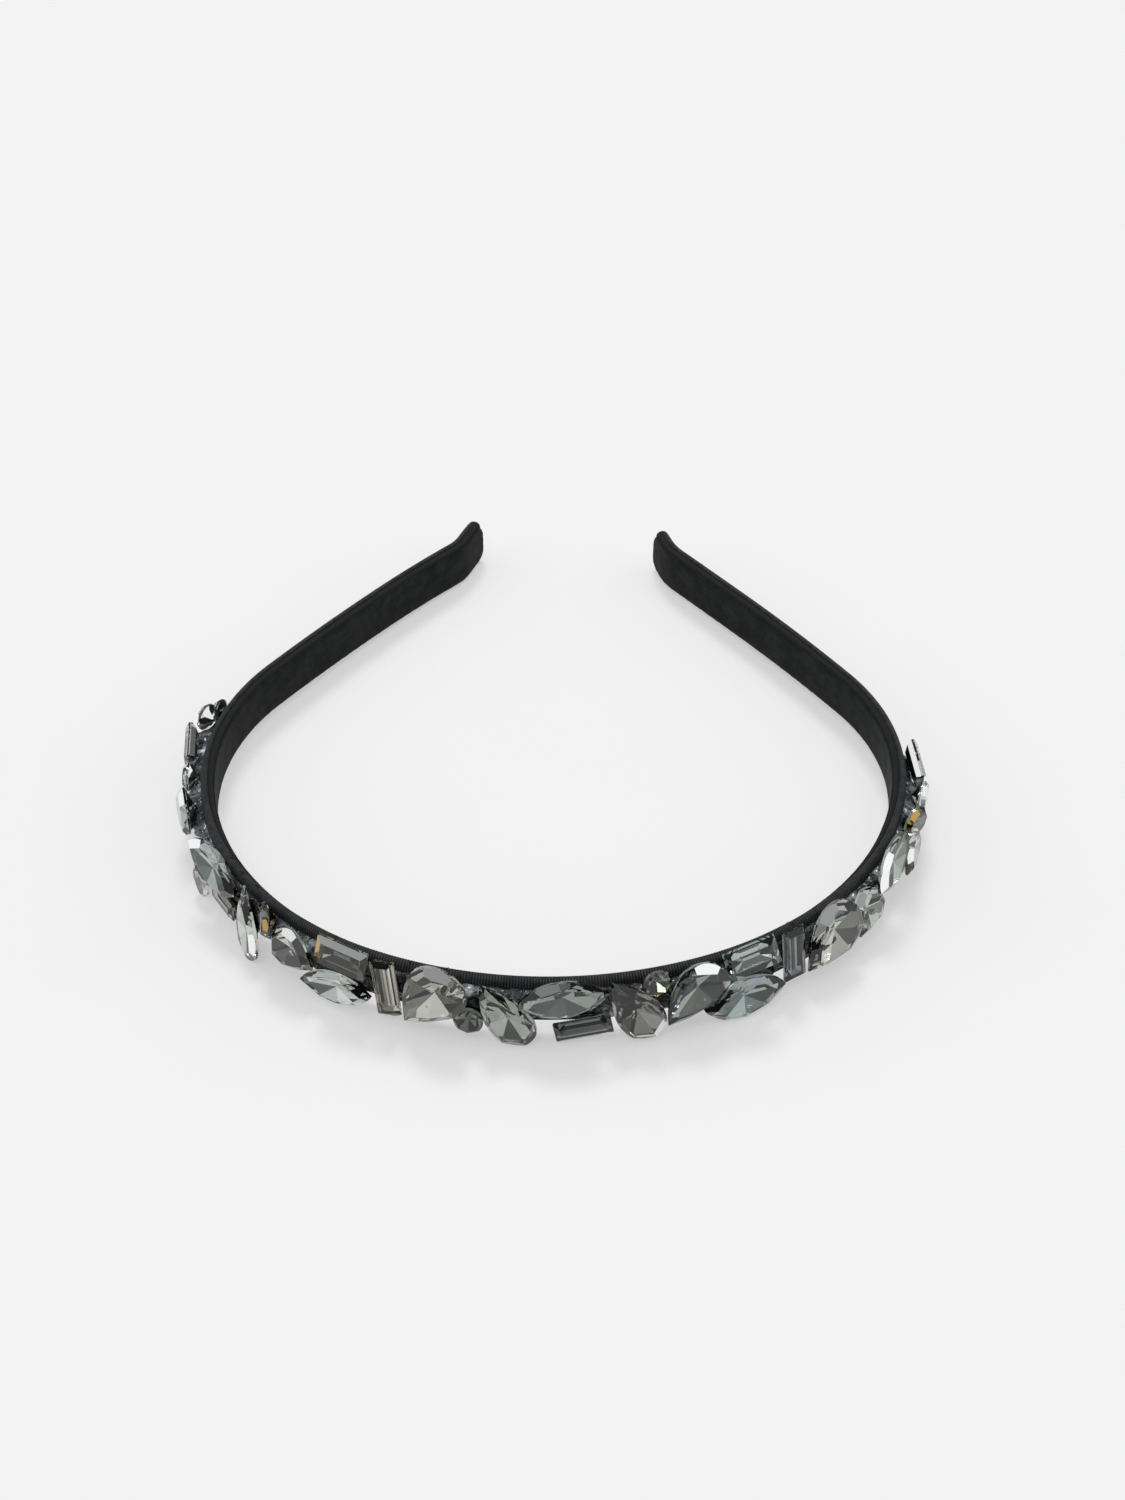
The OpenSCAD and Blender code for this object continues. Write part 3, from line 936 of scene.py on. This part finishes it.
def cut_stone(cut, long, wide, settings, sparks):
    """A convex cut stone with its table towards +Z, as a list of (facet, corners)

    Sparks are small extra facets by the girdle that carry painted fire: (name, plan direction in
    radians).
    """
    depth = stone_depth(wide)
    crown = CROWN_RISE[0] + CROWN_RISE[1] * wide
    low, high, top = -GIRDLE / 2, GIRDLE / 2, GIRDLE / 2 + crown
    edge = outline(cut, long, wide)
    centre = np.array([PEAR_CENTRE * long if cut == "pear" else 0, 0])
    planes = []

    def level(height):
        return np.column_stack([edge, np.full(len(edge), height)])

    def facet(kind, normal, near, far):
        planes.append((kind, slope(normal, near, far)))

    def span(normal):
        """Place of the centre along a plan direction, and the outline's reach from there"""
        return centre @ normal, ((edge - centre) @ normal).max()

    under, over = level(low - depth), level(top)
    faces = [("table", over), ("culet", under[::-1])]
    for i in range(len(edge)):
        k = (i + 1) % len(edge)
        faces.append(("girdle", np.array([under[i], under[k], over[k], over[i]])))
    if cut == "baguette":
        bevel, reach = min(1.05, wide / 4), wide / 2
        for i, normal in enumerate(((1, 0), (0, 1), (-1, 0), (0, -1))):
            half = (wide if i % 2 else long) / 2
            step = (half - 0.4 * reach, low - 0.6 * depth)
            facet("crown", normal, (half, high), (half - bevel, top))
            facet("back", normal, (half, low), step)
            facet("back", normal, step, (half - 0.9 * reach, low - depth))
    else:
        mains = settings.mains
        if cut == "round":
            halves = chords(np.roll(edge, -(len(edge) // (2 * mains)), 0), mains)
        else:
            halves = chords(edge, 2 * mains)
        for normal in chords(edge, mains):
            at, reach = span(normal)
            table = (at + reach * settings.table_share, top)
            facet("crown", normal, (at + reach, high - 0.04), table)
            facet("back", normal, (at + reach, low), (at + 0.02 * reach, low - depth))
        for normal in halves:
            at, reach = span(normal)
            facet("back", normal, (at + reach * 0.995, low), (at, low - 1.3 * depth))
    for spark, aim in sparks:
        normal = (math.cos(aim), math.sin(aim))
        reach = (edge @ normal).max()
        if cut == "baguette":
            facet(spark, normal, (reach - SPARK_W, high), (reach - 1.7, top))
        else:
            fall = SPARK_W * depth / (reach - centre @ normal)
            facet(spark, normal, (reach, low + 0.15), (reach - SPARK_W, low - fall))
    for kind, plane in planes:
        faces = clipped(faces, plane, kind)
    return faces


def stone_place(along, up, turn, wide, swing, lean, out):
    """Matrix that seats a stone on the band, in millimetres of the band's own frame"""
    reach = GLUE_NEAR + GLUE_T + STONE_GAP + stone_depth(wide) + GIRDLE / 2 + out
    heading = float(band_pose(along)[2, 0])
    at = band_points(along, reach, up)[0]
    return (
        Matrix.Translation(Vector(at))
        @ Matrix.Rotation(heading + math.radians(swing), 4, "Z")
        @ Matrix.Rotation(math.radians(90 - lean), 4, "X")
        @ Matrix.Rotation(math.radians(turn), 4, "Z")
    )


def welded(faces):
    """Points, corner numbers and kinds of a stone's faces, with like corners made one"""
    points, numbers, loops, kinds = [], {}, [], []
    for kind, corners in faces:
        loop = []
        for corner in corners:
            key = tuple(np.round(corner, 4))
            if key not in numbers:
                numbers[key] = len(points)
                points.append(corner)
            if not loop or loop[-1] != numbers[key]:
                loop.append(numbers[key])
        if loop[0] == loop[-1]:
            loop.pop()
        if len(loop) > 2:
            loops.append(loop)
            kinds.append(kind)
    return np.array(points), loops, kinds


def facing(points, loops, kinds, part, aim):
    """Number of the facet of a part of the stone that best faces a plan direction"""
    def turned(i):
        middle = points[loops[i]].mean(0)
        return math.cos(math.atan2(middle[1], middle[0]) - aim) * min(1, math.hypot(*middle[:2]))

    return max((i for i, kind in enumerate(kinds) if kind == part), key=turned)


def make_stone(name, settings, materials):
    """One stone as a closed mesh: glass in front, foil behind"""
    cut = name.rsplit("_", 1)[0]
    along, up, turn, long, wide, swing, lean, out, glass, foil = STONES[name]
    marks = [(part, math.radians(at - turn), tone) for part, at, tone in FLASHES.get(name, ())]
    sparks = [("spark " + tone, aim) for part, aim, tone in marks if part == "spark"]
    points, loops, kinds = welded(cut_stone(cut, long, wide, settings, sparks))
    flashes = {i: kind.split()[1] for i, kind in enumerate(kinds) if kind.startswith("spark")}
    for part, aim, tone in marks:
        if part != "spark":
            flashes[facing(points, loops, kinds, part, aim)] = tone
    place = np.array(stone_place(along, up, turn, wide, swing, lean, out))
    points = points @ place[:3, :3].T + place[:3, 3]
    stone = new_object(name + "_cut", resting(points), loops, materials, smooth=False)
    draw = random.Random(name)
    tones, foiled = [], []
    for i, kind in enumerate(kinds):
        shade = draw.uniform(*(DARK_SHADES if draw.random() < DARK_SHARE else LIGHT_SHADES))
        if foil == "bright":
            shade = max(shade, BRIGHT_LEAST)
        back = kind in ("back", "culet")
        # White and gold flashes are mirror foil, as are all flashes on curved stones: white ones
        # are painted glints, coloured ones painted fire
        mirror = flashes.get(i) in ("white", "gold") or (i in flashes and cut != "baguette")
        foiled.append(int(back or mirror))
        if i in flashes:
            tone = FLASH_TONES[flashes[i]]
        elif back:
            tone = [shade * c for c in FOIL_TONES[foil]]
        else:
            # Crown facets take a lighter glass tone: painted highlight
            tone = [c ** (CROWN_HIGHLIGHT if kind == "crown" else 1) for c in GLASS_TONES[glass]]
        tones.extend((*tone, 1))
    stone.data.polygons.foreach_set("material_index", foiled)
    shades = stone.data.attributes.new("tone", "FLOAT_COLOR", "FACE")
    shades.data.foreach_set("color", tones)
    finish_piece(stone, "stones", name)


class StoneOperator:
    """Cuts and seats every stone of one cut"""

    cut = ""

    def execute(self, context):
        settings = context.scene.headband_stones
        glass = bpy.data.materials.get("smoky_glass") or glass_material(settings)
        foil = bpy.data.materials.get("stone_foil") or foil_material()
        for name in STONES:
            if name.startswith(self.cut):
                make_stone(name, settings, [glass, foil])
        return {"FINISHED"}


class HEADBAND_OT_rounds(StoneOperator, bpy.types.Operator):
    """Makes the round stones"""

    bl_idname = "headband.rounds"
    bl_label = "Round stones"
    cut = "round"


class HEADBAND_OT_pears(StoneOperator, bpy.types.Operator):
    """Makes the pear stones"""

    bl_idname = "headband.pears"
    bl_label = "Pear stones"
    cut = "pear"


class HEADBAND_OT_marquises(StoneOperator, bpy.types.Operator):
    """Makes the marquise stones"""

    bl_idname = "headband.marquises"
    bl_label = "Marquise stones"
    cut = "marquise"


class HEADBAND_OT_baguettes(StoneOperator, bpy.types.Operator):
    """Makes the baguette stones"""

    bl_idname = "headband.baguettes"
    bl_label = "Baguette stones"
    cut = "baguette"


def stone_mounds(stations, heights):
    """Height of the glue that climbs the stones' backs, and the room under each stone"""
    points, faces = [], []
    for name in STONES:
        mesh = bpy.data.objects[name + "_cut"].data
        faces.extend([v + len(points) for v in p.vertices] for p in mesh.polygons)
        points.extend(v.co for v in mesh.vertices)
    stones = BVHTree.FromPolygons(points, faces)
    room = np.full((len(stations), len(heights)), np.inf)
    for j, up in enumerate(heights):
        starts = resting(band_points(stations, GLUE_NEAR, up))
        ends = resting(band_points(stations, GLUE_NEAR + 1, up))
        for i, (start, end) in enumerate(zip(starts, ends)):
            hit = stones.ray_cast(Vector(start), Vector(end - start), MOUND_REACH * MM)
            if hit[3] is not None:
                room[i, j] = max(GLUE_LEAST, hit[3] / MM - GLUE_CLEAR)
    mounds = np.where(room < MOUND_REACH, np.minimum(room, MOUND_TOP), GLUE_T)
    for _ in range(MOUND_SMOOTH):
        around = np.pad(mounds, 1, mode="edge")
        mounds = (around[:-2, 1:-1] + around[2:, 1:-1] + around[1:-1, :-2] + around[1:-1, 2:]) / 4
    return np.minimum(mounds, room), room


def glue_section(along, mounds, room):
    """Section of the glue at a place along the band, and how milky it is at each point"""
    end = min(along + GLUE_LEFT, GLUE_RIGHT - along)
    round_off = GLUE_ROUND * (1 - math.sqrt(1 - max(0, 1 - end / GLUE_ROUND) ** 2))
    bottom = GLUE_LOW + 0.25 + round_off + 0.5 * ripple(along, 2, 1.7)
    top = GLUE_HIGH - 0.1 - round_off / 2 + 0.25 * ripple(along, 5, 1.7)
    section, milky = [(GLUE_NEAR, top), (GLUE_NEAR, bottom)], [0, 0]
    for up, mound, free in zip(np.linspace(bottom, top, len(mounds)), mounds, room):
        lump = ripple(along, up, 3.2, 2.2, 4)
        fine = ripple(along, up, 0.9, 0.9, 8)
        rise = mound + 0.3 * lump + 0.15 * fine
        cloud = max(0, (lump + 0.5 * fine - 0.75) * 2)
        for at, level, radius, height, share in GLUE_LUMPS:
            swell = math.exp(-((along - at) ** 2 + (up - level) ** 2) / radius ** 2)
            rise += swell * height * (1 + 0.5 * fine)
            cloud += swell * share * (1 + fine)
        edge = min(up - bottom, top - up, end)
        rise = min(0.05 + (1 - math.exp(-edge / 0.4)) * rise, free)
        section.append((GLUE_NEAR + max(GLUE_LEAST, rise), up))
        milky.append(max(0, min(1, cloud)))
    return section, milky


class HEADBAND_OT_glue(bpy.types.Operator):
    """Makes the set glue under and between the stones"""

    bl_idname = "headband.glue"
    bl_label = "Glue"

    def execute(self, context):
        clear = glue_material(context.scene.headband_stones)
        stations = np.linspace(-GLUE_LEFT, GLUE_RIGHT, 540)
        mounds, room = stone_mounds(stations, np.linspace(GLUE_LOW, GLUE_HIGH, 29))
        sections, milky = zip(*map(glue_section, stations, mounds, room))
        glue = swept("set_glue", stations, sections, [clear])
        keep_values(glue.data, "milky", np.ravel(milky))
        finish_piece(glue, "glue", "glue_bed")
        return {"FINISHED"}


def light_room(scene):
    """Room light that is bright above and to the left and right, and darker low in front and behind
    """
    scene.world = bpy.data.worlds.new("studio")
    scene.world.use_nodes = True
    n = Nodes(scene.world.node_tree)
    direction = {"Vector": n.node("ShaderNodeTexCoord")}
    up = n.node("ShaderNodeSeparateXYZ", {}, direction, out=2)
    across = up.maths("ABSOLUTE", n.node("ShaderNodeSeparateXYZ", {}, direction))
    sides = across.above(0.55, 0.75) * up.above(-0.05, 0.1)
    bright = 0.08 + up.above(0.15, 0.6) * 0.24 + up.above(0.74, 0.9) * 0.62 + sides * 0.75
    seen = n.node("ShaderNodeLightPath")
    light = n.node("ShaderNodeBackground", {}, {
        "Color": (1, 1, 1), "Strength": bright * (1 - seen) + seen * 0.88,
    })
    n.node("ShaderNodeOutputWorld", {}, {"Surface": light})


def add_light(name, place, power, spread):
    """A soft light that shines evenly from a place, as wide as an angle in degrees"""
    lamp = bpy.data.lights.new(name, "SUN")
    lamp.energy = power
    lamp.angle = math.radians(spread)
    made = shown(name, lamp)
    made.location = place
    made.rotation_euler = (-Vector(place)).to_track_quat("-Z", "Y").to_euler()


def add_camera(scene, lens):
    """Camera at the photograph's height, distance and turn"""
    place, target = Vector(CAMERA_AT) * MM, Vector(CAMERA_AIM) * MM
    camera = bpy.data.cameras.new("camera")
    camera.lens = lens / MM
    camera.sensor_width = 36
    camera.clip_start, camera.clip_end = 0.01, 50
    roll = Matrix.Rotation(math.radians(CAMERA_ROLL), 4, "Z")
    turn = (target - place).to_track_quat("-Z", "Y").to_matrix().to_4x4()
    scene.camera = shown("camera", camera)
    scene.camera.matrix_world = Matrix.Translation(place) @ turn @ roll


class HEADBAND_OT_stage(bpy.types.Operator):
    """Makes the floor, the lights and the camera"""

    bl_idname = "headband.stage"
    bl_label = "Stage"

    def execute(self, context):
        scene = context.scene
        settings = scene.headband_stage
        made, n = material("floor_paper")
        grain = n.speckle(30 * MM, 2.0)
        n.surface({
            "Base Color": n.blend(grain * 0.1, settings.floor_colour, (0.5, 0.5, 0.5)),
            "Roughness": 0.9,
            "Specular IOR Level": 0.1,
            "Emission Color": (1, 1, 1),
            "Emission Strength": settings.floor_glow,
        })
        half = 12
        corners = [(-half, -half, 0), (half, -half, 0), (half, half, 0), (-half, half, 0)]
        floor = new_object("floor", corners, [(0, 1, 2, 3)], [made])
        light_room(scene)
        add_light("key_light", (-0.05, 0.55, 1.0), 1.2, 16)
        add_light("front_light", (-0.15, -0.5, 1.0), 0.35, 14)
        add_camera(scene, settings.lens)
        scene.view_settings.view_transform = "Standard"
        return {"FINISHED"}


class HEADBAND_PT_panel(bpy.types.Panel):
    """Lists the headband's sizes, colours and pieces"""

    bl_idname = "HEADBAND_PT_panel"
    bl_label = "Rhinestone headband"
    bl_space_type = "VIEW_3D"
    bl_region_type = "UI"
    bl_category = "Headband"

    def draw(self, context):
        for name in SETTINGS:
            group = getattr(context.scene, name)
            box = self.layout.box()
            for key in group.bl_rna.properties.keys():
                if key not in ("rna_type", "name"):
                    box.prop(group, key)
        for operator in OPERATORS:
            self.layout.operator(operator.bl_idname)


SETTINGS = {
    "headband_band": BandSettings, "headband_stones": StoneSettings,
    "headband_stage": StageSettings,
}
OPERATORS = (
    HEADBAND_OT_wrap, HEADBAND_OT_threads, HEADBAND_OT_lining, HEADBAND_OT_rounds,
    HEADBAND_OT_pears, HEADBAND_OT_marquises, HEADBAND_OT_baguettes, HEADBAND_OT_glue,
    HEADBAND_OT_stage,
)


def register():
    for made in (*SETTINGS.values(), *OPERATORS, HEADBAND_PT_panel):
        bpy.utils.register_class(made)
    for name, group in SETTINGS.items():
        setattr(bpy.types.Scene, name, PointerProperty(type=group))


def unregister():
    for name in SETTINGS:
        delattr(bpy.types.Scene, name)
    for made in (HEADBAND_PT_panel, *reversed(OPERATORS), *SETTINGS.values()):
        bpy.utils.unregister_class(made)


def main():
    register()
    for operator in OPERATORS:
        getattr(bpy.ops.headband, operator.bl_idname.split(".")[1])()


if __name__ == "__main__":
    main()
